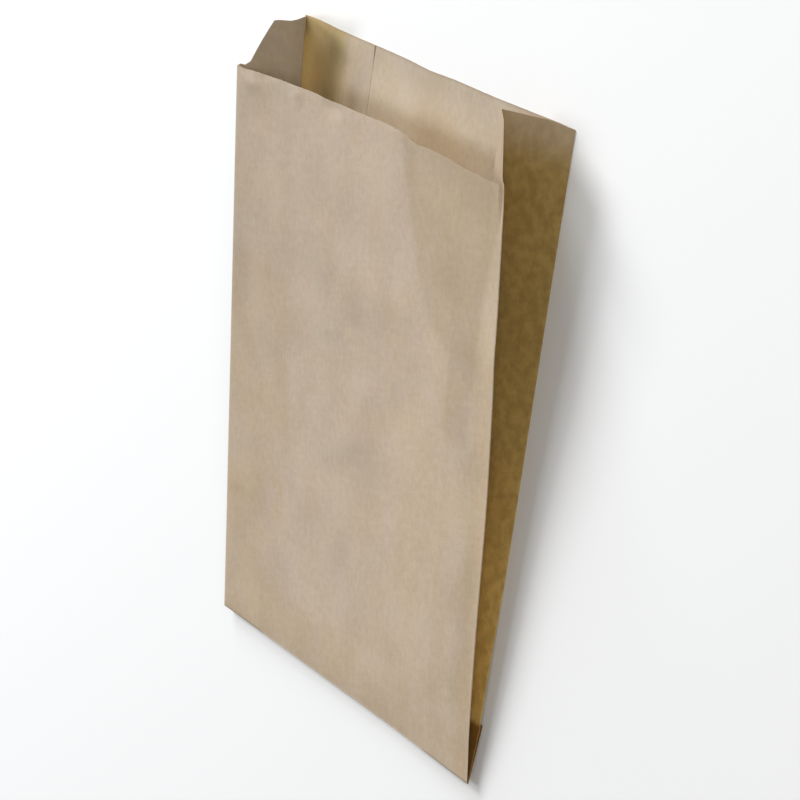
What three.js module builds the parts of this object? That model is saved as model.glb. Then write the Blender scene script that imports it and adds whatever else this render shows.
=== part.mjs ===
// Empty paper bakery bag, lying on its back panel with the front panel up.
// Millimetres, +Z up. The folded and glued bottom is toward -Y, the open mouth toward +Y.
import * as THREE from 'three';

// Panels. The bag is a paper tube with a pleat, the gusset, folded in along each side.
const bagWidth = 180;
const leafWidth = 28.5; // one leaf of a gusset, half of its 57 mm
const wall = 0.8; // the paper with the air held in its creases
const frontLength = 232.3; // the front panel is cut lower, so the back stands past it as a lip
const backLength = 252.4;
const rightFoldLength = 254; // the gussets reach furthest at their inward folds
const leftFoldLength = 255.1;

// Wedge. The front panel climbs from the bottom crease to the open mouth.
const creaseTop = 2.55; // top of the bottom crease, midway across
const creaseTwist = 0.55; // the left end of the crease is this much higher
const creaseLift = { height: 1.4, from: 30, to: 90 }; // and its right end turns up from here on
const mouthRise = 26.2; // climb of the front panel over its length
const mouthSag = 2.2; // the front panel dips between the gussets at the mouth
const rightSag = { height: -1.85, from: 45, to: 125 }; // the right side edge comes down between these

// Bottom. All plies are folded under and glued to the back panel as one flap.
const flapLength = 22.9;
const creaseThickness = 0.9;
const creaseNose = 0.4; // the rounded fold stands this far out
const noseShare = 0.4; // height of the fold's tip against the crease
const flapStep = 1.15; // height of the flap's free edge
const flatFrom = 96; // the back panel comes down from the flap's edge and lies flat from here on
const pleatOpenFrom = 12; // below this the gussets are pressed shut
const hollowFrom = 25; // the plies part here

// Cut edge of the mouth. Shares run across a gusset leaf from its outer fold to its inward fold.
const frontLeafShares = [0, 0.17, 0.55, 0.78, 1];
const slantFrom = frontLeafShares[1]; // the cut is level with the front panel up to here
const slantTo = frontLeafShares[2]; // climbs straight and steeply to here
const leafCrown = 3.4; // and then gently to the inward fold
const backLeafShares = [0, 0.34, 0.67, 1];
const cornerShare = backLeafShares[1]; // the cut drops to the back corner over this share
const cutWaves = [
  { height: 2.2, at: -18, spread: 50 }, // the front panel's cut edge rises broadly left of its middle
  { height: 1.35, at: 16, spread: 14 }, // with a small crest
  { height: -1.1, at: 32, spread: 5 }, // and a notch right of it
];

// Fineness of the surface.
const frontColumns = 24;
const backColumns = 8;
const flapRows = 3;
const joggleRows = 6;
const upperRows = 14;

const halfWidth = bagWidth / 2;
const lengthMiddle = (leftFoldLength - creaseNose) / 2;
const { clamp, inverseLerp, lerp, smoothstep } = THREE.MathUtils;

const wave = (shape, x) => shape.height * Math.exp(-(((x - shape.at) / shape.spread) ** 2));
const step = (shape, at) => shape.height * smoothstep(at, shape.from, shape.to);
const evenSteps = (from, to, count) => Array.from({ length: count + 1 }, (_, i) => lerp(from, to, i / count));

// Top of the bottom crease, from side to side.
const creaseHeight = (x) => creaseTop - creaseTwist * (x / halfWidth) + step(creaseLift, x);

// Height of the front panel's outer face at its side folds.
function sideFoldHeight(x, y) {
  const along = Math.min(y / frontLength, 1);
  const sag = x > 0 ? step(rightSag, y) : 0;
  return creaseHeight(x) + mouthRise * along + sag;
}

// How far the front panel hangs below its side folds.
const sagDepth = (x, y) => mouthSag * (y / frontLength) ** 2 * Math.cos(Math.PI * (x / bagWidth));

// Height of the lowest face: the flap, then the back panel coming down from the flap's free edge.
function backHeight(x, y, onFlap) {
  if (!onFlap) return flapStep * (1 - smoothstep(y, flapLength, flatFrom));
  return (creaseHeight(x) - creaseThickness) * (1 - y / flapLength);
}

// The six folds of one cross section, in the order in which they are met round the tube:
// front left, front right, right inward fold, back right, back left, left inward fold.
function outerFolds(y, onFlap) {
  const [left, right] = [-1, 1].map((side) => {
    const front = sideFoldHeight(side * halfWidth, y);
    const back = backHeight(side * halfWidth, y, onFlap);
    const opening = (front - back) / 2;
    const inset = Math.sqrt(leafWidth ** 2 - opening ** 2) * smoothstep(y, 0, pleatOpenFrom);
    return [
      new THREE.Vector2(side * halfWidth, front),
      new THREE.Vector2(side * (halfWidth - inset), back + opening),
      new THREE.Vector2(side * halfWidth, back),
    ];
  });
  return [left[0], right[0], right[1], right[2], left[2], left[1]];
}

// The same folds one wall further in, where the inner faces of neighbouring panels meet.
function innerFolds(y) {
  const folds = outerFolds(y, false);
  const faces = folds.map((fold, i) => {
    const along = folds[(i + 1) % folds.length].clone().sub(fold).normalize();
    const inward = new THREE.Vector2(along.y, -along.x);
    return { start: fold.clone().addScaledVector(inward, wall), along };
  });
  return faces.map((face, i) => {
    const before = faces[(i + faces.length - 1) % faces.length];
    const gap = face.start.clone().sub(before.start);
    const reach = gap.cross(face.along) / before.along.cross(face.along);
    return before.start.clone().addScaledVector(before.along, reach);
  });
}

// Length of the paper at a point of the mouth.
const frontCut = (x) => cutWaves.reduce((cut, shape) => cut + wave(shape, x), frontLength);
const slant = (share) => clamp(inverseLerp(slantFrom, slantTo, share), 0, 1);
const frontLeafCut = (share, fold) => lerp(frontLength, fold - leafCrown * (1 - share), slant(share));
const backLeafCut = (share, fold) => lerp(backLength, fold, Math.min(share / cornerShare, 1));

// Columns of one panel. The panel's last fold belongs to the next panel.
function panelColumns(panel, shares, cutAt) {
  return shares.slice(0, -1).map((share) => ({ panel, share, cut: cutAt(share) }));
}

function tubeColumns() {
  const outward = (shares) => shares.map((share) => 1 - share).reverse();
  const across = (share) => lerp(-halfWidth, halfWidth, share);
  return [
    ...panelColumns(0, evenSteps(0, 1, frontColumns), (share) => frontCut(across(share))),
    ...panelColumns(1, frontLeafShares, (share) => frontLeafCut(share, rightFoldLength)),
    ...panelColumns(2, outward(backLeafShares), (share) => backLeafCut(1 - share, rightFoldLength)),
    ...panelColumns(3, evenSteps(0, 1, backColumns), () => backLength),
    ...panelColumns(4, backLeafShares, (share) => backLeafCut(share, leftFoldLength)),
    ...panelColumns(5, outward(frontLeafShares), (share) => frontLeafCut(1 - share, leftFoldLength)),
  ];
}

// Point of a column at a height along the bag. Past flatFrom the rows stretch to the column's cut.
function tubePoint(column, y, foldsAt) {
  const reach = (column.cut - flatFrom) / (backLength - flatFrom);
  const own = y > flatFrom ? flatFrom + (y - flatFrom) * reach : y;
  const folds = foldsAt(own);
  const point = folds[column.panel].clone().lerp(folds[(column.panel + 1) % folds.length], column.share);
  const sag = column.panel === 0 ? sagDepth(point.x, own) : 0;
  return new THREE.Vector3(point.x, own, point.y - sag);
}

function outerRows(columns) {
  const rowAt = (y, onFlap) => columns.map((column) => tubePoint(column, y, (own) => outerFolds(own, onFlap)));
  const crease = rowAt(0, true);
  const nose = crease.map((point) => {
    const middle = creaseHeight(point.x) - creaseThickness / 2;
    return new THREE.Vector3(point.x, -creaseNose, lerp(middle, point.z, noseShare));
  });
  return [
    nose,
    ...evenSteps(0, flapLength, flapRows).map((y) => rowAt(y, true)),
    ...evenSteps(flapLength, flatFrom, joggleRows).map((y) => rowAt(y, false)),
    ...evenSteps(flatFrom, backLength, upperRows).slice(1).map((y) => rowAt(y, false)),
  ];
}

function innerRows(columns) {
  const heights = [
    ...evenSteps(hollowFrom, flatFrom, joggleRows),
    ...evenSteps(flatFrom, backLength, upperRows).slice(1),
  ];
  return heights.map((y) => columns.map((column) => tubePoint(column, y, innerFolds)));
}

// Closed shell: the outer face, the cut edge at the mouth, the inner face and the two bottoms.
function shellGeometry(outer, inner) {
  const count = outer[0].length;
  const index = [];
  const addBand = (near, far) => {
    for (let i = 0; i < count; i++) {
      const next = (i + 1) % count;
      index.push(near + i, near + next, far + next, near + i, far + next, far + i);
    }
  };
  const addBottom = (row, first, facesMouth) => {
    const outline = row.map((point) => new THREE.Vector2(point.x, point.z));
    for (const [a, b, c] of THREE.ShapeUtils.triangulateShape(outline, [])) {
      const turn = outline[b].clone().sub(outline[a]).cross(outline[c].clone().sub(outline[a]));
      const corners = turn < 0 === facesMouth ? [a, b, c] : [a, c, b];
      index.push(...corners.map((corner) => first + corner));
    }
  };
  const firstInner = outer.length * count;
  const lastInner = firstInner + (inner.length - 1) * count;
  for (let row = 0; row < outer.length - 1; row++) addBand(row * count, (row + 1) * count);
  addBand(firstInner - count, lastInner);
  for (let row = inner.length - 1; row > 0; row--) {
    addBand(firstInner + row * count, firstInner + (row - 1) * count);
  }
  addBottom(outer[0], 0, false);
  addBottom(inner[0], firstInner, true);
  const geometry = new THREE.BufferGeometry();
  geometry.setFromPoints([...outer, ...inner].flat());
  geometry.setIndex(index);
  geometry.computeVertexNormals();
  return geometry;
}

function paperBag() {
  const columns = tubeColumns();
  const kraft = new THREE.MeshStandardMaterial({ color: 0xb8a68c, roughness: 0.9, metalness: 0 });
  const bag = new THREE.Mesh(shellGeometry(outerRows(columns), innerRows(columns)), kraft);
  bag.name = 'paper_bag';
  bag.position.y = -lengthMiddle;
  return bag;
}

const group = new THREE.Group();
group.add(paperBag());

export default group;
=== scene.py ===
import math

import bpy
import numpy as np
from mathutils import Matrix, Vector, noise


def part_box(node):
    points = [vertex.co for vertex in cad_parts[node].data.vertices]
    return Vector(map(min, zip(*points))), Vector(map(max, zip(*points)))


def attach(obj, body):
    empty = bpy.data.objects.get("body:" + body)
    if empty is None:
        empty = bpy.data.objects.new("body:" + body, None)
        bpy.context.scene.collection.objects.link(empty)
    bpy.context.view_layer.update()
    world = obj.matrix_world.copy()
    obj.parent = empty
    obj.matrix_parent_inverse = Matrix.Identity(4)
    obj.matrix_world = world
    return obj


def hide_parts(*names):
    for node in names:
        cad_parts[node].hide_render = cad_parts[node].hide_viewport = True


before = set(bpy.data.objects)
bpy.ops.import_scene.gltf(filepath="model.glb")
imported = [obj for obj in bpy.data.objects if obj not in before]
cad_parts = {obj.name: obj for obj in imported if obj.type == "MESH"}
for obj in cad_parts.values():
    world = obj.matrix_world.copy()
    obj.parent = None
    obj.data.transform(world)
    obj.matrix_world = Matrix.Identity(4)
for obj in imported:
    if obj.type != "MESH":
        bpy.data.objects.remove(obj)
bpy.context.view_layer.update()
lowest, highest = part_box("paper_bag")
mm = 0.001
print("frame loaded:", sorted(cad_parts))

# The camera looks down on the lying bag, rolled so that the mouth is at the top of the picture.
cameraView = {
    "place": (918.59, 348.99, 666.53),  # millimetres, from the middle of the bag's underside
    "ahead": (-0.77001, -0.29783, -0.56425),
    "right": (0.55123, 0.13480, -0.82339),
    "focalPixels": 3073.2,
    "imagePixels": 800,
    "sensor": 36.0,
}


def addCamera(view):
    ahead = Vector(view["ahead"]).normalized()
    right = Vector(view["right"])
    right = (right - ahead * right.dot(ahead)).normalized()
    turned = Matrix((right, right.cross(ahead), -ahead)).transposed().to_4x4()
    bpy.ops.object.camera_add()
    camera = bpy.context.object
    camera.name = "camera"
    camera.matrix_world = Matrix.Translation(Vector(view["place"]) * mm) @ turned
    camera.data.sensor_width = view["sensor"]
    camera.data.lens = view["focalPixels"] / view["imagePixels"] * view["sensor"]
    bpy.context.scene.camera = camera


bpy.ops.object.select_all(action="DESELECT")
addCamera(cameraView)
print("camera placed")

# Millimetres. The bag is one sheet: its six panels are a back panel, a front panel and two gussets of
# two leaves each. Heights along the bag count from the bottom crease.
bag = {
    "width": (highest[0] - lowest[0]) / mm,
    "creaseAt": lowest[1] / mm + 0.4,  # the crease's rounded nose stands 0.4 out
    "leaf": 28.5,
    "paper": 0.055,
    "ply": 0.1125,  # from ply to ply where they are pressed together
    "foldRadius": 0.17,  # of the side folds, away from the crease
    "frontLength": 232.3,
    "backLength": 252.4,
    "creaseTop": 2.55,
    "creaseTwist": 0.55,  # the left end of the crease lies this much higher
    "creaseLift": (1.4, 30, 90),  # its right end turns up by this, between these places
    "mouthRise": 26.2,
    "mouthSag": 2.2,
    "rightSag": (1.85, 45, 125),  # the right fold comes down by this, between these heights
    "flapLength": 23.4,
    "flapFan": 0.3,  # the outer plies of the flap end this much earlier
    "flapEdgeHeight": 1.15,
    "flatFrom": 96.0,
    "seamAt": -39.0,  # free edge of the glued lengthwise seam, inside on the back panel
    "seamLap": 12.0,
    "seamCurl": 0.2,
    "relaxedOver": (4, 40),  # heights over which the side folds open from pressed to round
    "columnWidth": 2.9,
    "frontColumnWidth": 1.6,
    "foldColumns": (0.35, 0.8, 1.4, 2.2, 3.3),  # columns close beside each fold
    "arcSteps": 4,
    "rowHeight": 2.05,
    "noseSteps": 6,
    "lowRows": 8,  # rows of 1 mm above the crease
    "mouthRows": (2.6, 1.5, 0.7, 0),  # rows this far below the cut
    "mouthRowsFrom": 4,  # the even rows end this far below it
}
# Height, place and spread of the waves of each edge.
edgeWaves = {
    "frontCut": [
        (2.2, -18, 50),
        (1.35, 16, 14),
        (-1.1, 32, 5),
        (0.4, -40, 14),
        (-0.5, 67, 7),
        (-0.6, 79, 6),
        (-0.5, -85, 5),
        (0.35, -60, 8),
        (-0.5, -26, 6),
        (0.2, 33, 4),
        (0.3, 49, 9),
        (0.2, 72, 10),
    ],
    "rightFold": [(0.4, 25, 22), (0.3, 168, 10), (0.4, 234, 6)],
    "backCut": [(0.55, -80, 12), (-0.75, -1, 13), (-0.42, 36, 22), (0.25, 80, 10)],
}
mouthCut = {
    "leafLead": 0.8,  # the leaf is cut this much above the front panel
    "slantFrom": 0.17,  # shares of a leaf, from its outer fold to its inward fold
    "slantTo": 0.55,
    "crown": 3.4,
    "leftFold": 255.1,
    "rightFold": 254.0,
    "ear": (2.1, 0.83),  # the left fold's tip stands up by this, from this share of the leaf on
    "cornerShare": 0.34,
    "leadOver": 0.05,
    "slantBulge": 0.05,
    "ragged": 0.1,
    "raggedLength": 2.5,
}


def smooth(value, low, high):
    share = np.clip((value - low) / (high - low), 0, 1)
    return share * share * (3 - 2 * share)


def waves(listed, at):
    return sum(height * np.exp(-(((at - place) / spread) ** 2)) for height, place, spread in listed)


def drift(x, y, size, seed):
    flat = np.stack([np.ravel(x) / size, np.ravel(y) / size], axis=1)
    return np.array([noise.noise(Vector((a, b, seed))) for a, b in flat]).reshape(np.shape(x))


def creaseHeight(x):
    lift, start, end = bag["creaseLift"]
    return bag["creaseTop"] - bag["creaseTwist"] * x / (bag["width"] / 2) + lift * smooth(x, start, end)


# Underside of the back panel: over the flap, then down to the floor.
def backHeight(x, y):
    start = creaseHeight(x) - 4 * bag["ply"]
    overFlap = start + (bag["flapEdgeHeight"] - start) * np.clip(y / bag["flapLength"], 0, 1)
    return overFlap * (1 - smooth(y, bag["flapLength"], bag["flatFrom"]))


# Top of the front panel at its left and right folds.
def frontHeight(side, y):
    along = np.clip(y / bag["frontLength"], 0, None)
    height = creaseHeight(side * bag["width"] / 2) + bag["mouthRise"] * along
    if side > 0:
        sag, start, end = bag["rightSag"]
        height = height - sag * smooth(y, start, end)
        height = height + waves(edgeWaves["rightFold"], y) * smooth(y, 0, 20)
    return height


# The folds of one cross section, as thin rods that the paper runs round: back left, left inward,
# front left, front right, right inward, back right. The way it turns at each is +1 to the left.
turnSigns = np.array([-1, 1, -1, -1, 1, -1])


def foldRods(y, onFlap, atCrease):
    pressed = np.where(onFlap, flapPly(y), bag["ply"])
    relaxed = smooth(y, *bag["relaxedOver"]) * ~onFlap
    radius = pressed / 2 + (bag["foldRadius"] - bag["ply"] / 2) * relaxed
    edge = bag["width"] / 2 - radius
    rods = {}
    for side in (-1, 1):
        opened = frontHeight(side, y) - backHeight(side * bag["width"] / 2, y)
        opened = opened - (bag["paper"] + bag["ply"]) / 2
        depth = np.where(onFlap | atCrease, 3 * pressed, opened)
        lean = depth / 2 - radius
        inset = np.sqrt(bag["leaf"] ** 2 - lean**2)
        rods[side, "back"] = np.stack([side * edge, radius], axis=-1)
        rods[side, "inward"] = np.stack([side * (edge - inset), depth / 2], axis=-1)
        rods[side, "front"] = np.stack([side * edge, depth - radius], axis=-1)
    names = [(-1, "back"), (-1, "inward"), (-1, "front"), (1, "front"), (1, "inward"), (1, "back")]
    return np.stack([rods[name] for name in names], axis=-2), radius


# From ply to ply in the flap, which fans out toward its free edge. Four plies lie there.
def flapPly(y):
    free = (bag["flapEdgeHeight"] - bag["paper"] / 2) / 3.5
    return bag["ply"] + (free - bag["ply"]) * np.clip(y / bag["flapLength"], 0, 1)


# Columns of the sheet. A panel's columns hold shares of the way from fold to fold, a fold's hold
# shares of its turn. The sheet begins and ends on the back panel, where its ends overlap.
def sheetColumns():
    half, leaf = bag["width"] / 2, bag["leaf"]
    lapped = half - bag["seamAt"] + bag["seamLap"]
    widths = [half + bag["seamAt"], leaf, leaf, bag["width"], leaf, leaf, lapped]
    starts = [1 - widths[0] / bag["width"], 0, 0, 0, 0, 0, 0]
    ends = [1, 1, 1, 1, 1, 1, widths[6] / bag["width"]]
    columns = []
    ring = 0.0
    beside = np.array((0,) + bag["foldColumns"])
    for panel, width in enumerate(widths):
        spacing = bag["frontColumnWidth"] if panel == 3 else bag["columnWidth"]
        between = np.linspace(beside[-1], width - beside[-1], round(width / spacing))[1:-1]
        for place in np.concatenate([beside, between, width - beside[::-1]]):
            share = starts[panel] + (ends[panel] - starts[panel]) * place / width
            columns.append((panel, share, False, ring + place))
        ring += width
        if panel < len(widths) - 1:
            for step in range(1, bag["arcSteps"]):
                columns.append((panel, step / bag["arcSteps"], True, ring))
    panels, shares, onArc, rings = (np.array(values) for values in zip(*columns))
    return {"panel": panels, "share": shares, "onArc": onArc, "ring": rings}


# Rows of the sheet: along the flap to the crease, round it, and up to the mouth.
def sheetRows():
    flapCount = round(bag["flapLength"] / bag["rowHeight"])
    flap = [(y, math.pi) for y in np.linspace(bag["flapLength"], 0, flapCount + 1)]
    nose = [(0.0, angle) for angle in np.linspace(math.pi, 0, bag["noseSteps"] + 1)[1:-1]]
    low = [(y, 0.0) for y in np.linspace(0, bag["lowRows"], bag["lowRows"] + 1)]
    start, end = bag["lowRows"], bag["backLength"] - bag["mouthRowsFrom"]
    middle = [(y, 0.0) for y in np.linspace(start, end, round((end - start) / bag["rowHeight"]) + 1)[1:]]
    high = [(y, 0.0) for y in bag["backLength"] - np.array(bag["mouthRows"])]
    return (np.array(values) for values in zip(*flap + nose + low + middle + high))


# How far up the paper reaches in each column.
def cutLengths(columns):
    panel, share = columns["panel"], columns["share"]
    x = (share - 0.5) * bag["width"]
    front = bag["frontLength"] + waves(edgeWaves["frontCut"], x)
    back = bag["backLength"] + waves(edgeWaves["backCut"], -x)  # its columns run from right to left
    cut = np.where(panel == 3, front, back)
    for side, frontLeaf, backLeaf in (("leftFold", 2, 1), ("rightFold", 4, 5)):
        fold = mouthCut[side]
        outward = np.where(panel == 2, 1 - share, share)  # from the outer fold of the front leaf
        start = bag["frontLength"] + mouthCut["leafLead"] * smooth(outward, 0, mouthCut["leadOver"])
        slant = mouthCut["slantTo"] - mouthCut["slantFrom"]
        climb = np.clip((outward - mouthCut["slantFrom"]) / slant, 0, 1)
        climb = climb + mouthCut["slantBulge"] * np.sin(np.pi * climb)
        top = fold - mouthCut["crown"] * (1 - outward)
        height, begins = mouthCut["ear"] if side == "leftFold" else (0, 0)
        tip = height * np.clip((outward - begins) / (1 - begins), 0, 1)
        cut = np.where(panel == frontLeaf, start + (top - start) * climb + tip, cut)
        outward = np.where(panel == 5, 1 - share, share)  # from the back corner
        rise = np.clip(outward / mouthCut["cornerShare"], 0, 1)
        tip = height * np.clip((outward - begins) / (1 - begins), 0, 1)
        backCut = bag["backLength"] + (fold - bag["backLength"]) * rise + tip
        cut = np.where(panel == backLeaf, backCut, cut)
    leftTip = mouthCut["leftFold"] + mouthCut["ear"][0]
    arcCuts = [bag["backLength"], leftTip, bag["frontLength"], bag["frontLength"]]
    arcCuts += [mouthCut["rightFold"], bag["backLength"], 0]  # the last panel ends without a fold
    cut = np.where(columns["onArc"], np.array(arcCuts)[panel], cut)
    ragged = drift(columns["ring"], columns["ring"] * 0, mouthCut["raggedLength"], 3.1)
    return cut + mouthCut["ragged"] * ragged


def foldSheet():
    columns = sheetColumns()
    rowHeights, rowAngles = sheetRows()
    cut = cutLengths(columns)
    rowHeights, angle = rowHeights[:, None], rowAngles[:, None] + 0 * cut
    reach = (cut - bag["flatFrom"]) / (bag["backLength"] - bag["flatFrom"])
    stretched = bag["flatFrom"] + (rowHeights - bag["flatFrom"]) * reach
    y = np.where(rowHeights > bag["flatFrom"], stretched, rowHeights + 0 * cut)
    onFlap = angle > math.pi - 0.001
    atCrease = (angle > 0.001) & ~onFlap
    rods, radius = foldRods(y, onFlap, atCrease)
    following = np.roll(rods, -1, axis=-2)
    span = following - rods
    slip = radius[..., None] * (np.roll(turnSigns, -1) - turnSigns)
    across, up = span[..., 0], span[..., 1]
    heading = np.arctan2(up, across) - np.arcsin(slip / np.hypot(across, up))

    def rimPoint(rod, direction):
        across = np.stack([-np.sin(direction), np.cos(direction)], axis=-1)
        return rods[..., rod, :] - turnSigns[rod] * radius[..., None] * across

    section = np.zeros(y.shape + (2,))
    for panel in range(7):
        before, after = (panel - 1) % 6, panel % 6
        share = columns["share"][:, None]
        leave, arrive = rimPoint(before, heading[..., before]), rimPoint(after, heading[..., before])
        straight = leave + (arrive - leave) * share
        sign = turnSigns[after]
        turn = sign * np.mod(sign * (heading[..., after] - heading[..., before]), 2 * np.pi)
        curved = rimPoint(after, heading[..., before] + turn * columns["share"])
        here = (columns["panel"] == panel)[:, None]
        onArc = columns["onArc"][:, None]
        section = np.where(here & ~onArc, straight, section)
        section = np.where(here & onArc, curved, section)
    x, height = section[..., 0], section[..., 1]
    height = height + relief(columns, x, y, onFlap | atCrease)

    base = backHeight(x, y)
    fan = np.where(onFlap, flapPly(y), bag["ply"]) / 2
    upper = base + fan + height
    creaseMiddle = creaseHeight(x) - 4 * bag["ply"]
    around = fan + height
    z = np.where(onFlap, base - around, upper)
    z = np.where(atCrease, creaseMiddle + around * np.cos(angle), z)
    outer = height / (3 * fan * 2)
    along = np.where(onFlap, y * (1 - bag["flapFan"] * outer / bag["flapLength"]), y)
    along = np.where(atCrease, -around * np.sin(angle), along)
    points = np.stack([x, along + bag["creaseAt"], z], axis=-1)
    flatLength = np.where(onFlap, -y, y)
    return points, columns["ring"] + 0 * y, flatLength, cut


# Unevenness of the paper, up and down. It fades out at the folds.
surface = {
    "frontWaves": 0.35,
    "leafWaves": 0.3,
    "backWaves": 0.3,
    "waveLength": 42.0,
    "cockles": 0.05,
    "cockleLength": 11.0,
    "foldFade": 7.0,
    "seamStep": 0.078,
    "seamFade": (3, 7),  # the raised end comes down this far beyond the lap
    "curlFrom": (245, 252),
    "curlWidth": 5,
    "imprint": (0.06, 0.7),  # height and width of the ridge over the gussets' inward folds
    "sunkPlies": 1.6,  # the front panel sinks between the gussets by this, near the crease
    "sunkOver": (2, 30),
    "creaseFade": 18.0,
    "dents": [  # place, half sizes, rise
        (-80, 227, 7, 4, 0.35),
        (-71, 231, 6, 4, -0.3),
        (-23.5, 231.5, 8, 4, -0.6),
        (-47, 231, 5, 5, 0.4),
    ],
    # Beside the right fold.
    "pinch": {"inset": 1.1, "across": 1.1, "at": 231, "along": 16, "depth": 0.55},
}


def relief(columns, x, y, pressed):
    panel, share = columns["panel"], columns["share"]
    # Where its ends overlap, the sheet has one and the same unevenness.
    ring = np.where(np.isin(panel, (0, 6)), x, columns["ring"] + bag["width"])
    width = np.where(np.isin(panel, (0, 3, 6)), bag["width"], bag["leaf"])
    fromFold = np.where(columns["onArc"], 0, np.minimum(share, 1 - share) * width)
    fade = smooth(fromFold, 0, surface["foldFade"]) * smooth(y, 0, surface["creaseFade"]) * ~pressed
    broad = drift(ring, y, surface["waveLength"], 7.3)
    broad = broad + 0.5 * drift(ring, y * 0.8, surface["waveLength"] / 2, 2.1)
    fine = drift(ring, y * 0.7, surface["cockleLength"], 5.7) * surface["cockles"]

    along = y / bag["frontLength"]
    sag = bag["mouthSag"] * along**2 * np.cos(np.pi * x / bag["width"])
    between = smooth(bag["width"] / 2 - bag["leaf"] - np.abs(x), -0.5, 2)
    sunk = surface["sunkPlies"] * bag["ply"] * between * (1 - smooth(y, *surface["sunkOver"])) * ~pressed
    ridgeHeight, ridgeWidth = surface["imprint"]
    inwardFold = bag["width"] / 2 - bag["leaf"]
    ridge = waves([(ridgeHeight, inwardFold, ridgeWidth)], np.abs(x))
    front = broad * surface["frontWaves"] + fine + ridge * ~pressed
    for placeX, placeY, halfX, halfY, rise in surface["dents"]:
        apart = np.hypot((x - placeX) / halfX, (y - placeY) / halfY)
        front = front + rise * np.clip(1 - apart, 0, 1)
    pinch = surface["pinch"]
    inset = bag["width"] / 2 - x - pinch["inset"]
    apart = np.hypot(inset / pinch["across"], (y - pinch["at"]) / pinch["along"])
    front = front - facets("sink", x, y)
    front = front * fade - sag * ~pressed - sunk - pinch["depth"] * np.clip(1 - apart**2, 0, 1)

    back = (np.abs(broad) * surface["backWaves"] + np.abs(fine)) * fade
    farAway = 1000
    fromSeam = np.where(panel == 0, bag["seamAt"] - x, farAway)
    fadeStart, fadeEnd = surface["seamFade"]
    overlap = 1 - smooth(fromSeam, bag["seamLap"] + fadeStart, bag["seamLap"] + fadeEnd)
    curl = np.exp(-np.clip(fromSeam, 0, farAway) / surface["curlWidth"])
    curl = bag["seamCurl"] * smooth(y, *surface["curlFrom"]) * curl
    back = back + surface["seamStep"] * overlap + curl * ~pressed
    leaf = (broad * surface["leafWaves"] + fine) * fade
    return np.where(panel == 3, front, np.where(np.isin(panel, (0, 6)), back, leaf)) * ~columns["onArc"]


# Soft marks on the front panel: place, half sizes, turn in degrees, and how much lighter or warmer.
# Empty lists leave plain paper.
# The lighter and darker marks are painted shade of the paper's undulations, mixed with mottling of its
# tone.
frontMarks = {
    "paintedShadeAndMottling": [
        (74, 224, 15, 9, 0, -0.07),
        (27, 213, 9, 12, 20, -0.03),
        (50, 157, 12, 7, -25, 0.07),
        (86, 165, 3.5, 32, 0, 0.09),
        (83, 65, 5, 48, 0, -0.11),
        (-87, 180, 9, 62, 0, -0.13),
        (-70, 229, 13, 6, 0, -0.14),
        (56, 188, 8, 10, 0, -0.05),
        (50, 114, 18, 14, 0, 0.06),
        (29, 133, 6, 8, 0, -0.07),
        (-20, 166, 16, 11, 0, -0.06),
        (0, 149, 10, 9, 0, -0.04),
        (12, 19, 55, 8, 0, 0.1),
        (-27, 197, 17, 7, 10, -0.05),
        (-2, 157, 12, 7, 20, -0.06),
        (-18, 143, 9, 3, 10, -0.07),
        (-5, 148, 4, 2.5, 20, 0.08),
        (4, 130, 12, 3, 12, 0.05),
        (-32, 185, 14, 3.5, 20, 0.04),
        (-73, 211, 9, 3, 15, 0.05),
        (-73, 222, 9, 6, 0, -0.05),
        (-2, 98, 17, 6, 30, -0.11),
        (-27, 82, 20, 13, 20, 0.04),
        (-5, 54, 20, 9, 10, -0.06),
        (-13, 30, 17, 10, 15, 0.06),
        (-82, 56, 10, 3, 12, -0.08),
        (-75, 78, 12, 4, 10, -0.05),
        (78, 45, 4, 25, 0, -0.07),
        (40, 80, 25, 48, 0, 0.035),
        (0, 1.5, 110, 3, 0, -0.05),
        (-60, 170, 30, 50, 0, -0.05),
    ],
    "warmth": [
        (52, 90, 34, 85, 0, 0.3),
        (74, 222, 18, 12, 0, 0.35),
        (0, 8, 100, 14, 0, 0.35),
        (86, 90, 6, 110, 0, 0.7),
        (-82, 56, 12, 5, 12, 0.4),
    ],
}
# Facets that light crumpling has left in it, corner by corner.
# Each facet sinks a little, and its lighter or darker amount is painted shade of the tilted paper.
frontFacets = [
    {
        "corners": [(41, 181), (80, 181), (85, 200), (90, 222), (90, 240), (22, 240), (32, 203)],
        "soft": 2.4,
        "paintedShadeAndMottling": -0.12,
        "warmth": 0.5,
        "sink": 0.15,
    },
    {
        "corners": [(49, 168), (62, 160), (79, 160), (80, 181), (41, 181)],
        "soft": 2.4,
        "paintedShadeAndMottling": -0.11,
        "warmth": 0.35,
        "sink": 0.15,
    },
    {
        "corners": [(60, 129), (75, 127), (79, 160), (62, 160)],
        "soft": 2.8,
        "paintedShadeAndMottling": -0.09,
        "warmth": 0.15,
        "sink": 0.12,
    },
    {
        "corners": [(-95, -5), (-52, -5), (-44, 88), (-50, 155), (-95, 162)],
        "soft": 2.4,
        "paintedShadeAndMottling": -0.045,
        "warmth": 0.3,
        "sink": 0.03,
    },
    {
        "corners": [(-89, 230.5), (-79, 227), (-60, 233.5), (-75, 236)],
        "soft": 1.2,
        "paintedShadeAndMottling": 0.1,
        "warmth": 0,
        "sink": 0,
    },
]


def marks(listed, x, y):
    total = 0
    for placeX, placeY, halfX, halfY, turn, amount in listed:
        cos, sin = math.cos(math.radians(turn)), math.sin(math.radians(turn))
        across = (x - placeX) * cos + (y - placeY) * sin
        along = (y - placeY) * cos - (x - placeX) * sin
        total = total + amount * np.exp(-((across / halfX) ** 2) - (along / halfY) ** 2)
    return total


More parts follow.
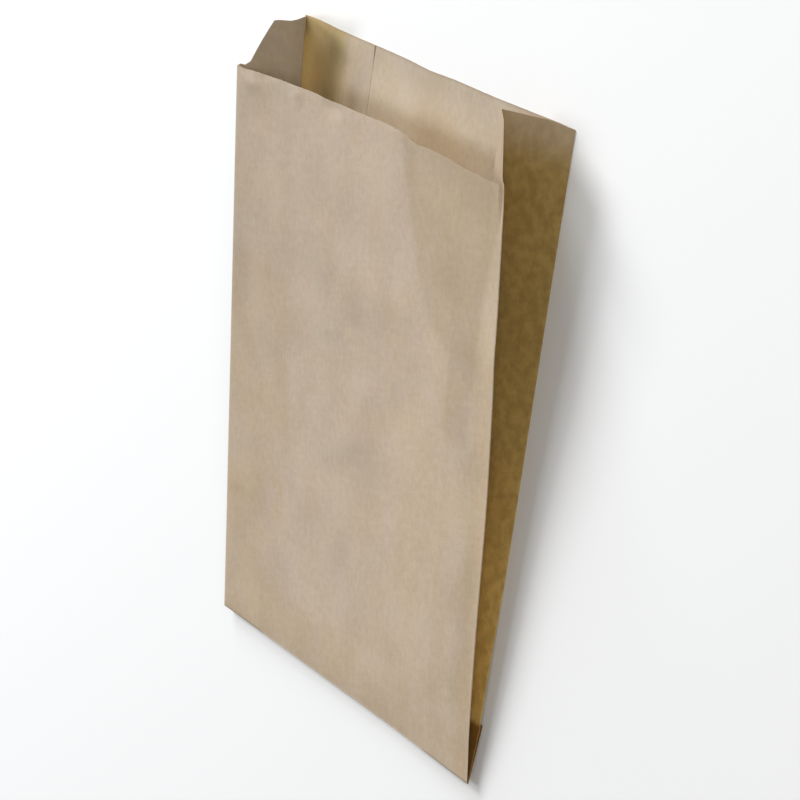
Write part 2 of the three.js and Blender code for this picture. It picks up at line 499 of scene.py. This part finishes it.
def facets(quality, x, y):
    total = 0
    for facet in frontFacets:
        inside = facet[quality]
        corners = facet["corners"]
        for (startX, startY), (endX, endY) in zip(corners, corners[1:] + corners[:1]):
            stepX, stepY = endX - startX, endY - startY
            apart = (stepX * (y - startY) - stepY * (x - startX)) / math.hypot(stepX, stepY)
            inside = inside * smooth(apart, -facet["soft"], facet["soft"])
        total = total + inside
    return total


# Where the masks over the sheet lie, in millimetres: start and end of a step, or place and spread of
# a soft band. Those that end in Up run along the bag, the others run across it.
maskPlaces = {
    "gussetShadeUp": (233, 252),
    "paintedGussetLightUp": (30, 195),
    "paintedGussetLightStartUp": (20, 26),
    "leftBandLight": (56, 64),  # to the left of the middle
    "bandFoldLight": (76, 88),  # also to the left
    "bandFoldLightUp": (242, 251),
    "bandEdgeShadow": (-67, 7.5),
    "bandDeepUp": (231, 240),
    "bandShallowUp": (243, 251),
    "bandBesideLight": (-55, 5),
    "bandBesideLightUp": (240, 250),
    "atMouthShadeUp": (236, 252),
    "deeperLightUp": (230, 243),
    "rightCornerShade": (40, 70),
    "underFrontShadow": (10, 26),
    "underFrontShadowUp": (229, 242),
    "nearFrontShadow": (-60, -50),
    "nearFrontShadowUp": (228, 236),
}
maskWidths = {"leafFold": 5, "backEdge": 1.1, "foldWearAndHighlight": 0.9}


def step(name, at):
    return smooth(at, *maskPlaces[name])


def softBand(name, at):
    return waves([(1, *maskPlaces[name])], at)


# Masks over the sheet. Most are painted light and shade: golden light as if it came through the single
# paper of the gussets and through the back panel beside them, and painted shade where the flap or
# another ply lies behind.
def paperMasks(columns, x, length, cut):
    panel, share, onArc = columns["panel"], columns["share"], columns["onArc"]
    back, leaf = np.isin(panel, (0, 6)), np.isin(panel, (1, 2, 4, 5))
    farAway = 99
    frontFold = np.where(panel == 3, np.minimum(share, 1 - share) * bag["width"], farAway)
    frontFold = np.where(panel == 2, (1 - share) * bag["leaf"], frontFold)
    frontFold = np.where(panel == 4, share * bag["leaf"], frontFold)
    frontFold = np.where(onArc, np.where(np.isin(panel, (2, 3)), 0, farAway), frontFold)
    flapFold = onArc & np.isin(panel, (2, 3)) & (length < 0)
    gussetShadeAndBlotches = np.where(onArc, np.isin(panel, (0, 1, 4, 5)), leaf) | flapFold
    # The gussets' mask carries painted golden shade, weaker near the mouth and on the left, and sets
    # where their blotches lie.
    gussetShadeAndBlotches = gussetShadeAndBlotches * (1 - 0.6 * step("gussetShadeUp", length))
    inwardFold = bag["width"] / 2 - bag["leaf"]
    overGusset = smooth(np.abs(x), inwardFold - 1, inwardFold + 1)
    overFlap = 1 - smooth(length, bag["flapLength"] - 2, bag["flapLength"] + 2)
    # Painted shade in the gussets where the flap lies behind.
    paintedFlapShade = 1 - smooth(length, bag["flapLength"] - 0.5, bag["flapLength"] + 1)
    # Painted light in the lower gussets, from just above the flap, fading out up the bag.
    paintedGussetLight = (1 - step("paintedGussetLightUp", length)) * step("paintedGussetLightStartUp", length)
    # Painted shade of the front's undulations and facets, mixed with mottling of its tone.
    paintedShadeAndMottling = 1 + marks(frontMarks["paintedShadeAndMottling"], x, length) + facets("paintedShadeAndMottling", x, length)
    warmth = marks(frontMarks["warmth"], x, length) + facets("warmth", x, length)
    onFront = (panel == 3) & ~onArc & (length >= 0)
    bandDepth = 0.8 + 0.2 * step("bandDeepUp", length) - 0.6 * step("bandShallowUp", length)
    leafFold = np.exp(-((share * bag["leaf"] / maskWidths["leafFold"]) ** 2))
    masks = {
        "gussetShadeAndBlotches": gussetShadeAndBlotches * np.where(x > 0, 1, 0.6),
        "paintedGussetLight": paintedGussetLight * (gussetShadeAndBlotches > 0) * np.where(x > 0, 1, 0.3),
        "paintedFlapShade": paintedFlapShade * (gussetShadeAndBlotches > 0),
        # painted shade on the leaves' inner faces and along the left inward fold
        "leftLeafShade": (panel == 2) | (onArc & (panel == 1)),
        "rightLeafShade": panel == 4,
        "leftLeafFoldShade": np.where(onArc, panel == 1, (panel == 2) * leafFold),
        # Painted golden light in the band beside the left gusset, painted light over its fold and beside
        # it, and a painted shadow along its edge.
        "leftBandLight": np.where(back, step("leftBandLight", -x), (panel == 1) & ~onArc),
        "bandFoldLight": back * step("bandFoldLight", -x) * (1 - step("bandFoldLightUp", length)),
        "bandEdgeShadow": back * softBand("bandEdgeShadow", x) * bandDepth,
        "bandBesideLight": back * softBand("bandBesideLight", x) * (1 - 0.6 * step("bandBesideLightUp", length)),
        # painted shade near the mouth and painted light deeper inside the back panel
        "atMouthShade": back * step("atMouthShadeUp", length),
        "deeperLight": back * (1 - step("deeperLightUp", length)),
        "backEdge": back * smooth(length, cut - maskWidths["backEdge"], cut),
        # painted shade inside toward the right corner
        "rightCornerShade": np.where(back, step("rightCornerShade", x), panel == 5),
        # painted shadow on the back panel under the front panel's edge
        "underFrontShadow": back * softBand("underFrontShadow", x) * (1 - step("underFrontShadowUp", length)),
        "nearFrontShadow": back * step("nearFrontShadow", x) * (1 - step("nearFrontShadowUp", length)),
        # lighter along the front folds: wear, with a painted highlight
        "foldWearAndHighlight": np.exp(-frontFold / maskWidths["foldWearAndHighlight"]) * (length >= 0),
        # painted shade on the front panel where the gussets or the flap lie behind
        "paintedPlyShade": np.where(panel == 3, np.maximum(overGusset, overFlap), 0),
        # painted shade along the crease, on top of the front's marks
        "paintedShadeAndMottling": np.where(onFront, paintedShadeAndMottling, 1) * np.where(length == 0, 0.8, 1),
        "warmth": 0.15 + np.where(onFront, warmth, 0),
    }
    return {name: np.broadcast_to(mask, x.shape).astype(float) for name, mask in masks.items()}


# The flat sheet is a grid, which is then folded into the bag and given the paper's thickness.
def makeBagPaper():
    points, ring, length, cut = foldSheet()
    rowCount, columnCount = ring.shape
    bpy.ops.object.select_all(action="DESELECT")
    bpy.ops.mesh.primitive_grid_add(x_subdivisions=columnCount - 1, y_subdivisions=rowCount - 1, size=1)
    paper = bpy.context.object
    paper.name = "bag_paper"
    mesh = paper.data
    flat = np.empty(len(mesh.vertices) * 3)
    mesh.vertices.foreach_get("co", flat)
    flat = flat.reshape(-1, 3)
    column = np.rint((flat[:, 0] + 0.5) * (columnCount - 1)).astype(int)
    row = np.rint((flat[:, 1] + 0.5) * (rowCount - 1)).astype(int)
    mesh.vertices.foreach_set("co", (points[row, column] * mm).ravel())

    corners = np.empty(len(mesh.loops), dtype=int)
    mesh.loops.foreach_get("vertex_index", corners)
    unfolded = np.stack([ring[row, column], length[row, column] + bag["flapLength"]], axis=-1) * mm
    mesh.uv_layers[0].name = "paperSheet"
    mesh.uv_layers[0].data.foreach_set("uv", unfolded[corners].ravel())
    for name, mask in paperMasks(sheetColumns(), points[..., 0], length, cut).items():
        mesh.attributes.new(name, "FLOAT", "POINT").data.foreach_set("value", mask[row, column].ravel())
    mesh.update()

    thickness = paper.modifiers.new("thickness", "SOLIDIFY")
    thickness.thickness = bag["paper"] * mm
    thickness.offset = 0
    thickness.use_rim = True
    thickness.material_offset = 1
    thickness.material_offset_rim = 2
    for material in makeKraftMaterials():
        mesh.materials.append(material)
    bpy.ops.object.modifier_apply(modifier="thickness")
    bpy.ops.object.shade_smooth_by_angle(angle=math.radians(60))
    print("paper folded:", len(paper.data.polygons), "faces")
    return paper


# Colours are linear. Each face of the paper mixes a paler and a darker kraft in clouds, and the masks of
# the sheet are tinted on top. Most of these tints are painted light and shade.
kraftFaces = {
    "kraft_outside": {
        "pale": (0.536, 0.442, 0.351),
        "dark": (0.456, 0.361, 0.270),
        "cloudSize": 20.0,  # millimetres
        "fibreShare": 0.35,
        "speckShare": 0.3,
        "blotchShare": 0.9,  # on the gussets
        "roughness": (0.74, 0.88),
        "relief": 0.022,
        "tints": {
            # painted golden shade of the gussets
            "gussetShadeAndBlotches": (0.835, 0.7, 0.295),
            # painted light low in the gussets
            "paintedGussetLight": (1.75, 1.78, 1.75),
            # painted shade in the gussets behind the flap
            "paintedFlapShade": (0.58, 0.4, 0.13),
            # painted shade on the front panel over the gussets and the flap
            "paintedPlyShade": (0.985, 0.98, 0.97),
        },
    },
    "kraft_inside": {
        "pale": (0.552, 0.464, 0.364),
        "dark": (0.490, 0.398, 0.296),
        "cloudSize": 20.0,
        "fibreShare": 0.04,
        "speckShare": 0.06,
        "blotchShare": 0.25,
        "roughness": (0.82, 0.94),
        "relief": 0.018,
        "tints": {
            # painted shade on the leaves' inner faces and along the left inward fold
            "leftLeafShade": (0.77, 0.73, 0.66),
            "leftLeafFoldShade": (0.84, 0.82, 0.78),
            "rightLeafShade": (0.70, 0.63, 0.57),
            # painted light and painted shadow in the band beside the left gusset
            "leftBandLight": (1.24, 1.19, 0.84),
            "bandFoldLight": (1.75, 1.9, 1.95),
            "bandEdgeShadow": (0.55, 0.53, 0.50),
            "bandBesideLight": (1.5, 1.48, 1.42),
            # painted shade near the mouth and painted light deeper inside
            "atMouthShade": (0.85, 0.85, 0.86),
            "deeperLight": (1.15, 1.16, 1.18),
            "backEdge": (0.78, 0.74, 0.7),
            # painted shade toward the right corner
            "rightCornerShade": (0.93, 0.89, 0.86),
            # painted shadow under the front panel's edge
            "underFrontShadow": (0.92, 0.87, 0.78),
            "nearFrontShadow": (0.8, 0.75, 0.68),
        },
    },
    "kraft_cut_edge": {
        "pale": (0.64, 0.55, 0.42),
        "dark": (0.52, 0.43, 0.31),
        "cloudSize": 3.0,
        "fibreShare": 0.6,
        "speckShare": 0.5,
        "blotchShare": 0,
        "roughness": (0.9, 0.97),
        "relief": 0.03,
        # painted shade behind the flap
        "tints": {"paintedFlapShade": (0.6, 0.47, 0.3)},
    },
}
kraftShades = {
    "warm": (1.04, 0.985, 0.85),  # some clouds are warmer
    "speck": (0.33, 0.25, 0.155),
    "blotch": (0.76, 0.73, 0.66),
    # lighter along the folds: wear, with a painted highlight
    "wearAndHighlight": (0.64, 0.52, 0.385),
    "wearAndHighlightShare": 0.4,
    "cloudWarmth": 0.25,
}
# Size across and along in millimetres, detail, seed and turn in degrees. The sizes of the clouds and
# of the warmth are shares of the face's own cloud size.
paperPatterns = {
    "clouds": (1, 1.4, 5, 4.2),
    "warmth": (0.8, 1.1, 3, 11.5),
    "blotches": (4.0, 5.0, 5, 6.3),
    "formation": (2.4, 3.2, 4, 1.9),
    "wrinkles": (9.0, 1.9, 2, 5.1, 17),
    "streaks": (0.45, 6.5, 2, 7.7),
    "hairs": (0.3, 1.6, 1, 3.3),
    "grit": (0.55, 0.8, 0, 9.1),
}


def joinNodes(tree, *pairs):
    for source, target in pairs:
        tree.links.new(source, target)


def addNoise(tree, place, across, along, detail, seed, turn=0.0):
    nodes = tree.nodes
    stretch = nodes.new("ShaderNodeMapping")
    stretch.vector_type = "TEXTURE"
    stretch.inputs["Location"].default_value = (seed * -100, seed * -70, 0)
    stretch.inputs["Rotation"].default_value = (0, 0, math.radians(turn))
    stretch.inputs["Scale"].default_value = (across, along, 1)
    pattern = nodes.new("ShaderNodeTexNoise")
    pattern.noise_dimensions = "2D"
    pattern.inputs["Scale"].default_value = 1
    pattern.inputs["Detail"].default_value = detail
    joinNodes(tree, (place, stretch.inputs["Vector"]))
    joinNodes(tree, (stretch.outputs["Vector"], pattern.inputs["Vector"]))
    return pattern.outputs["Fac"]


def addRange(tree, value, low, high, newLow=0.0, newHigh=1.0):
    node = tree.nodes.new("ShaderNodeMapRange")
    limits = {"From Min": low, "From Max": high, "To Min": newLow, "To Max": newHigh}
    for name, amount in limits.items():
        node.inputs[name].default_value = amount
    joinNodes(tree, (value, node.inputs["Value"]))
    return node.outputs["Result"]


def addMath(tree, operation, a, b):
    node = tree.nodes.new("ShaderNodeMath")
    node.operation = operation
    for socket, value in zip(node.inputs, (a, b)):
        if isinstance(value, (int, float)):
            socket.default_value = value
        else:
            joinNodes(tree, (value, socket))
    return node.outputs["Value"]


# Clouds, fibres, specks and the height of kraft paper, all read from the unfolded sheet.
def makePaperFibres():
    tree = bpy.data.node_groups.new("paperFibres", "ShaderNodeTree")
    tree.interface.new_socket("Cloud Size", in_out="INPUT", socket_type="NodeSocketFloat")
    for name in ("Clouds", "Warmth", "Blotches", "Fibres", "Specks", "Height"):
        tree.interface.new_socket(name, in_out="OUTPUT", socket_type="NodeSocketFloat")
    given, put = tree.nodes.new("NodeGroupInput"), tree.nodes.new("NodeGroupOutput")
    sheet = tree.nodes.new("ShaderNodeUVMap")
    sheet.uv_map = "paperSheet"
    toMillimetres = tree.nodes.new("ShaderNodeVectorMath")
    toMillimetres.operation = "SCALE"
    toMillimetres.inputs["Scale"].default_value = 1 / mm
    joinNodes(tree, (sheet.outputs["UV"], toMillimetres.inputs[0]))
    place = toMillimetres.outputs["Vector"]

    shrink = tree.nodes.new("ShaderNodeVectorMath")
    shrink.operation = "DIVIDE"
    joinNodes(tree, (place, shrink.inputs[0]), (given.outputs["Cloud Size"], shrink.inputs[1]))
    patterns = {}
    for name, look in paperPatterns.items():
        where = shrink.outputs["Vector"] if name in ("clouds", "warmth") else place
        patterns[name] = addNoise(tree, where, *look)

    def blend(**shares):
        total = 0.0
        for name, share in shares.items():
            total = addMath(tree, "ADD", total, addMath(tree, "MULTIPLY", patterns[name], share))
        return total

    patterns["fibres"] = blend(streaks=0.45, hairs=0.25, wrinkles=0.3)
    mixed = blend(clouds=0.58, formation=0.42)
    spotted = blend(blotches=0.75, hairs=0.25)
    joinNodes(
        tree,
        (addRange(tree, mixed, 0.38, 0.62), put.inputs["Clouds"]),
        (addRange(tree, patterns["warmth"], 0.4, 0.6), put.inputs["Warmth"]),
        (addRange(tree, spotted, 0.38, 0.62), put.inputs["Blotches"]),
        (addRange(tree, patterns["fibres"], 0.36, 0.64), put.inputs["Fibres"]),
        (addRange(tree, patterns["grit"], 0.74, 0.84), put.inputs["Specks"]),
        (blend(formation=0.6, fibres=0.5, wrinkles=0.8), put.inputs["Height"]),
    )
    return tree


def makeKraft(name, look, fibresGroup):
    material = bpy.data.materials.new(name)
    material.use_nodes = True
    tree = material.node_tree
    shader = tree.nodes["Principled BSDF"]
    fibres = tree.nodes.new("ShaderNodeGroup")
    fibres.node_tree = fibresGroup
    fibres.inputs["Cloud Size"].default_value = look["cloudSize"]

    def mixColours(share, first, second, kind="MIX"):
        node = tree.nodes.new("ShaderNodeMix")
        node.data_type = "RGBA"
        node.blend_type = kind
        joinNodes(tree, (share, node.inputs["Factor"]))
        for socket, colour in ((node.inputs[6], first), (node.inputs[7], second)):
            if isinstance(colour, tuple):
                socket.default_value = (*colour, 1)
            else:
                joinNodes(tree, (colour, socket))
        return node.outputs[2]

    def addMask(name):
        node = tree.nodes.new("ShaderNodeAttribute")
        node.attribute_name = name
        return node.outputs["Fac"]

    def scaled(name, share):
        return addMath(tree, "MULTIPLY", fibres.outputs[name], share)

    cloudPart, fibrePart = scaled("Clouds", 1 - look["fibreShare"]), scaled("Fibres", look["fibreShare"])
    pale = addMath(tree, "ADD", cloudPart, fibrePart)
    colour = mixColours(pale, look["dark"], look["pale"])
    warm = addMath(tree, "ADD", scaled("Warmth", kraftShades["cloudWarmth"]), addMask("warmth"))
    colour = mixColours(warm, colour, kraftShades["warm"], "MULTIPLY")
    colour = mixColours(scaled("Specks", look["speckShare"]), colour, kraftShades["speck"])
    blotch = addMath(tree, "MULTIPLY", scaled("Blotches", look["blotchShare"]), addMask("gussetShadeAndBlotches"))
    colour = mixColours(blotch, colour, kraftShades["blotch"], "MULTIPLY")
    # Wear and a painted highlight along the folds.
    wearAndHighlight = addMath(tree, "MULTIPLY", addMask("foldWearAndHighlight"), kraftShades["wearAndHighlightShare"])
    colour = mixColours(wearAndHighlight, colour, kraftShades["wearAndHighlight"])
    for maskName, tint in look["tints"].items():
        colour = mixColours(addMask(maskName), colour, tint, "MULTIPLY")
    # The colour is scaled by the painted shade and mottling of the front and the crease.
    shaded = tree.nodes.new("ShaderNodeVectorMath")
    shaded.operation = "SCALE"
    joinNodes(tree, (colour, shaded.inputs[0]), (addMask("paintedShadeAndMottling"), shaded.inputs["Scale"]))
    roughness = addRange(tree, fibres.outputs["Clouds"], 0, 1, *look["roughness"])
    bump = tree.nodes.new("ShaderNodeBump")
    bump.inputs["Strength"].default_value = 1
    bump.inputs["Distance"].default_value = look["relief"] * mm
    joinNodes(
        tree,
        (shaded.outputs["Vector"], shader.inputs["Base Color"]),
        (roughness, shader.inputs["Roughness"]),
        (fibres.outputs["Height"], bump.inputs["Height"]),
        (bump.outputs["Normal"], shader.inputs["Normal"]),
    )
    return material


def makeKraftMaterials():
    fibresGroup = makePaperFibres()
    return [makeKraft(name, look, fibresGroup) for name, look in kraftFaces.items()]


floorLook = {"size": 8, "color": (0.86, 0.86, 0.86, 1), "roughness": 0.9}


def addFloor():
    bpy.ops.mesh.primitive_plane_add(size=floorLook["size"])
    floor = bpy.context.object
    floor.name = "floor"
    material = bpy.data.materials.new("floor_pale")
    material.use_nodes = True
    shader = material.node_tree.nodes["Principled BSDF"]
    shader.inputs["Base Color"].default_value = floorLook["color"]
    shader.inputs["Roughness"].default_value = floorLook["roughness"]
    floor.data.materials.append(material)


# Directions in degrees: azimuth from +X toward +Y, and elevation.
studio = {
    "lamps": {
        "mouthSide": {"azimuth": 120, "elevation": 15, "power": 68, "color": (0.88, 0.95, 1)},
        "key": {"azimuth": 150, "elevation": 30, "power": 62, "color": (1, 1, 1)},
        "leftSide": {"azimuth": 180, "elevation": 50, "power": 28, "color": (0.9, 0.94, 1)},
        "rightFill": {"azimuth": 30, "elevation": 30, "power": 23, "color": (1, 0.97, 0.9)},
    },
    "distance": 3.0,
    "lampSize": 1.1,
    "sky": (0.262, 0.253, 0.242),
}


def addLamp(name, azimuth, elevation, power, color):
    across = math.cos(math.radians(elevation))
    direction = Vector((math.cos(math.radians(azimuth)), math.sin(math.radians(azimuth)), 0)) * across
    direction.z = math.sin(math.radians(elevation))
    bpy.ops.object.light_add(type="AREA", location=direction * studio["distance"])
    lamp = bpy.context.object
    lamp.name = name
    lamp.rotation_euler = direction.to_track_quat("Z", "Y").to_euler()
    lamp.data.size = studio["lampSize"]
    lamp.data.energy = power
    lamp.data.color = color


bagPaper = makeBagPaper()
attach(bagPaper, "root")
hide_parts("paper_bag")
addFloor()
for lampName, lampSettings in studio["lamps"].items():
    addLamp(lampName, **lampSettings)
world = bpy.data.worlds.new("studio")
bpy.context.scene.world = world
world.use_nodes = True
world.node_tree.nodes["Background"].inputs["Color"].default_value = (*studio["sky"], 1)
bpy.context.scene.view_settings.view_transform = "Standard"
print("studio lit")
